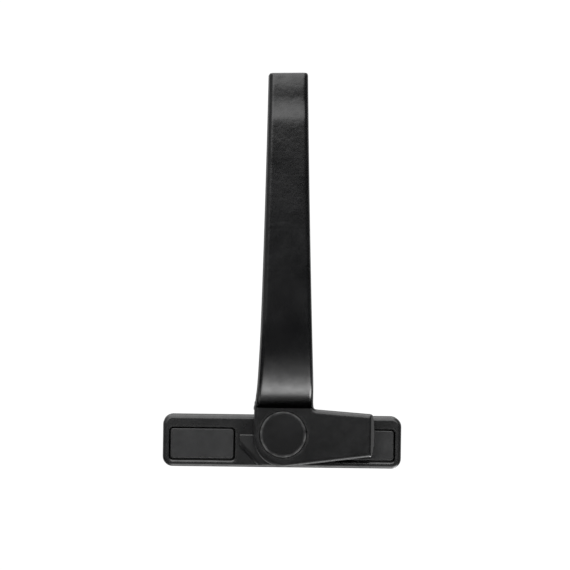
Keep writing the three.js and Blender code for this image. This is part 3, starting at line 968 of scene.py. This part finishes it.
def dress(obj, slot_name):
    """The material of a slot, put on an object."""
    obj.data.materials.clear()
    obj.data.materials.append(SLOT_MATERIALS[slot_name])


# --- Assembly -----------------------------------------------------------------------------

FACE_TOLERANCE = 0.01
NODE_SLOTS = {entry["node"]: entry["material_slot"] for entry in frame["record"]["subparts"]}
for node_name, node_object in frame["nodes"].items():
    dress(node_object, NODE_SLOTS[node_name])


def place(obj, node, body, material=None):
    """Dresses a rebuilt piece and puts it in place of its CAD node, on its body."""
    dress(obj, NODE_SLOTS[node])
    if material:
        obj.data.materials[0] = material
    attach(obj, body)
    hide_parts(node)


plate_object = base_plate()
place(plate_object, "base_plate", "base", plate_paint)
# The platform's face takes the lighter copy of the plate's paint: painted light.
plate_object.data.materials.append(platform_lit_paint)
for face in plate_object.data.polygons:
    if -face.center.y * MM > PLATFORM_FACE - FACE_TOLERANCE:
        face.material_index = 1

place(screw_cover("left"), "left_screw_cover", "base")
place(screw_cover("right"), "right_screw_cover", "base")
place(handle_casting(), "handle", "handle")
place(hub_cap(), "hub_cap", "handle", cap_plastic)
place(wear_pad(), "spur_wear_pad", "handle")


# --- Studio -------------------------------------------------------------------------------

# What the handle reflects, as (part of a direction, brightness) stops. The light above and below
# goes by height and fades to the sides and to the back. A second light lies behind. Both are turned
# by some degrees about the line from the viewer to the wall. The strip, low down on the right and
# behind, isn't turned.
LIGHT_TURN = 11
LIGHT_BY_HEIGHT = [
    (-1, 6.8), (-0.89, 3.1), (-0.79, 1.5), (-0.6, 0.6), (-0.39, 0.08), (0, 0.0), (0.1, 0.05),
    (0.18, 3.4), (0.4, 3.0), (1, 3.0),
]
FADE_TO_SIDE = [(-1, 0.1), (-0.52, 0.2), (-0.25, 1), (0.25, 1), (0.42, 1.2), (0.56, 0.2), (1, 0.1)]
FADE_TO_BACK = [(-1, 1), (0.22, 1), (0.5, 0.15), (1, 0.15)]
FADE_LEAN = -0.3
LIGHT_BEHIND = [(-1, 0), (0.15, 0), (0.35, 0.9), (0.8, 0.9), (0.97, 0.15), (1, 0.1)]
STRIP_BY_SIDE = [(-1, 0), (0.2, 0), (0.32, 9), (0.62, 9), (0.75, 0), (1, 0)]
STRIP_BY_HEIGHT = [(-1, 1), (-0.72, 1), (-0.6, 0), (1, 0)]
STRIP_BY_DEPTH = [(-1, 0), (-0.2, 0), (0, 1), (1, 1)]
BRIGHTEST = 10.0
BACKDROP = 1.05

FLOOR = {"radius": 1.5, "drop": 0.25}

# The camera, in metres and degrees. It is level with the middle of the lever.
CAMERA = {"distance": 0.98, "rise": 0.0607, "left": 0.0001, "yaw": 1.5, "roll": 0.83}
LENS = 152.5
SENSOR = 36


def studio_floor():
    """A wide pale floor below the handle."""
    bm = bmesh.new()
    bmesh.ops.create_circle(bm, cap_ends=True, radius=FLOOR["radius"], segments=96)
    obj = make_object("studio_floor", bm)
    obj.location.z = -FLOOR["drop"]
    material, tree, shader = new_material("pale_floor")
    vector = object_coordinates(tree, 1.0)
    tone = two_tone(tree, noise(tree, vector, 6.0), (0.86, 0.86, 0.86), (0.9, 0.9, 0.9))
    tree.links.new(tone, shader.inputs["Base Color"])
    shader.inputs["Roughness"].default_value = 0.8
    obj.data.materials.append(material)
    obj.visible_glossy = False


def graded(tree, value, stops):
    """A value from -1 to 1 taken through straight runs between (value, brightness) stops."""
    curve = tree.nodes.new("ShaderNodeFloatCurve")
    points = curve.mapping.curves[0].points
    curve.mapping.use_clip = False
    for i, (position, level) in enumerate(stops):
        at = (position / 2 + 0.5, level / BRIGHTEST)
        point = points[i] if i < 2 else points.new(*at)
        point.location = at
        point.handle_type = "VECTOR"
    curve.mapping.update()
    half = tree.nodes.new("ShaderNodeMapRange")
    half.inputs["From Min"].default_value = -1
    half.inputs["From Max"].default_value = 1
    tree.links.new(value, half.inputs["Value"])
    tree.links.new(half.outputs["Result"], curve.inputs["Value"])
    return maths(tree, "MULTIPLY", curve.outputs["Value"], BRIGHTEST)


def reflected_light(tree):
    """How bright the studio is in each direction, as the handle reflects it."""
    direction = tree.nodes.new("ShaderNodeTexCoord").outputs["Generated"]
    turn = tree.nodes.new("ShaderNodeVectorRotate")
    turn.rotation_type = "Y_AXIS"
    turn.inputs["Angle"].default_value = math.radians(LIGHT_TURN)
    tree.links.new(direction, turn.inputs["Vector"])
    plain = components(tree, direction)
    turned_way = components(tree, turn.outputs["Vector"])
    back = maths(tree, "ADD", maths(tree, "MULTIPLY", turned_way["Z"], FADE_LEAN), turned_way["Y"])
    light = graded(tree, turned_way["Z"], LIGHT_BY_HEIGHT)
    light = maths(tree, "MULTIPLY", light, graded(tree, turned_way["X"], FADE_TO_SIDE))
    light = maths(tree, "MULTIPLY", light, graded(tree, back, FADE_TO_BACK))
    light = maths(tree, "MAXIMUM", light, graded(tree, turned_way["Y"], LIGHT_BEHIND))
    strip = graded(tree, plain["X"], STRIP_BY_SIDE)
    strip = maths(tree, "MULTIPLY", strip, graded(tree, plain["Z"], STRIP_BY_HEIGHT))
    strip = maths(tree, "MULTIPLY", strip, graded(tree, plain["Y"], STRIP_BY_DEPTH))
    return maths(tree, "MAXIMUM", light, strip)


def studio_world():
    """White to look at, and graded light for what the handle reflects."""
    world = bpy.data.worlds.new("studio")
    bpy.context.scene.world = world
    world.use_nodes = True
    tree = world.node_tree
    tree.nodes.clear()
    seen, reflected = (tree.nodes.new("ShaderNodeBackground") for _ in range(2))
    for background in (seen, reflected):
        background.inputs["Color"].default_value = (1, 1, 1, 1)
    seen.inputs["Strength"].default_value = BACKDROP
    tree.links.new(reflected_light(tree), reflected.inputs["Strength"])
    path = tree.nodes.new("ShaderNodeLightPath")
    mix = tree.nodes.new("ShaderNodeMixShader")
    out = tree.nodes.new("ShaderNodeOutputWorld")
    tree.links.new(path.outputs["Is Camera Ray"], mix.inputs["Fac"])
    tree.links.new(reflected.outputs["Background"], mix.inputs[1])
    tree.links.new(seen.outputs["Background"], mix.inputs[2])
    tree.links.new(mix.outputs["Shader"], out.inputs["Surface"])


def studio_camera():
    """Level with the middle of the lever, a metre off, turned and rolled as the picture is."""
    pivot = Vector((0, -HUB_FRONT / MM, 0))
    yaw, roll = math.radians(CAMERA["yaw"]), math.radians(CAMERA["roll"])
    sideways = Vector((math.cos(yaw), -math.sin(yaw), 0))
    forward = Vector((math.sin(yaw), math.cos(yaw), 0))
    up = Vector((0, 0, 1))
    right = sideways * math.cos(roll) + up * math.sin(roll)
    above = up * math.cos(roll) - sideways * math.sin(roll)
    data = bpy.data.cameras.new("camera")
    data.sensor_width = SENSOR
    data.lens = LENS
    data.clip_start = 0.01
    obj = bpy.data.objects.new("camera", data)
    place_at = pivot - forward * CAMERA["distance"] + up * CAMERA["rise"] - sideways * CAMERA["left"]
    rotation = Matrix((right, above, -forward)).transposed()
    obj.matrix_world = Matrix.Translation(place_at) @ rotation.to_4x4()
    bpy.context.scene.collection.objects.link(obj)
    bpy.context.scene.camera = obj


studio_floor()
studio_world()
studio_camera()
bpy.context.scene.view_settings.view_transform = "Standard"
